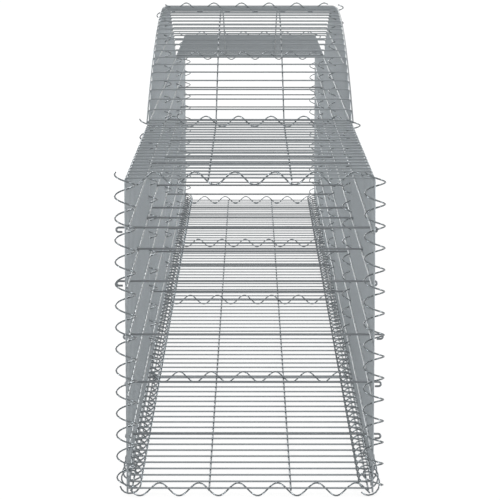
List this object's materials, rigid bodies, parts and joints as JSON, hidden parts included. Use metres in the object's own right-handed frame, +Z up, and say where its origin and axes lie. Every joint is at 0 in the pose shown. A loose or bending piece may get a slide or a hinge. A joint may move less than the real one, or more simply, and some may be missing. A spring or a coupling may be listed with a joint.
{
  "type": "arched gabion wall basket",
  "caption": "Empty arched basket of welded steel mesh for a stone-filled wall, open at both ends, laced together with wire coils and braced with cross rods.",
  "frame": {"origin": "on the ground, under the middle of the basket", "axes": "+X across the basket to its right side, +Y along it, +Z up"},
  "size_m": [0.4992, 4.04, 0.8004],
  "materials": {
    "mesh_wire": "satin",
    "coil_wire": "satin",
    "rod_wire": "satin"
  },
  "bodies": {
    "root": {"floor_panel_1": "mesh_wire", "top_panel_1": "mesh_wire", "left_wall_1": "mesh_wire", "right_wall_1": "mesh_wire", "rods_1": "rod_wire", "floor_panel_2": "mesh_wire", "top_panel_2": "mesh_wire", "left_wall_2": "mesh_wire", "right_wall_2": "mesh_wire", "rods_2": "rod_wire", "floor_panel_3": "mesh_wire", "top_panel_3": "mesh_wire", "left_wall_3": "mesh_wire", "right_wall_3": "mesh_wire", "rods_3": "rod_wire", "floor_panel_4": "mesh_wire", "top_panel_4": "mesh_wire", "left_wall_4": "mesh_wire", "right_wall_4": "mesh_wire", "rods_4": "rod_wire", "left_edge_coil": "coil_wire", "right_edge_coil": "coil_wire", "floor_lacing_1": "coil_wire", "top_lacing_1": "coil_wire", "left_corner_coil_1": "coil_wire", "right_corner_coil_1": "coil_wire", "floor_lacing_2": "coil_wire", "top_lacing_2": "coil_wire", "left_corner_coil_2": "coil_wire", "right_corner_coil_2": "coil_wire", "floor_lacing_3": "coil_wire", "top_lacing_3": "coil_wire", "left_corner_coil_3": "coil_wire", "right_corner_coil_3": "coil_wire", "floor_lacing_4": "coil_wire", "top_lacing_4": "coil_wire", "left_corner_coil_4": "coil_wire", "right_corner_coil_4": "coil_wire", "floor_lacing_5": "coil_wire", "top_lacing_5": "coil_wire", "left_corner_coil_5": "coil_wire", "right_corner_coil_5": "coil_wire"}
  },
  "joints": []
}
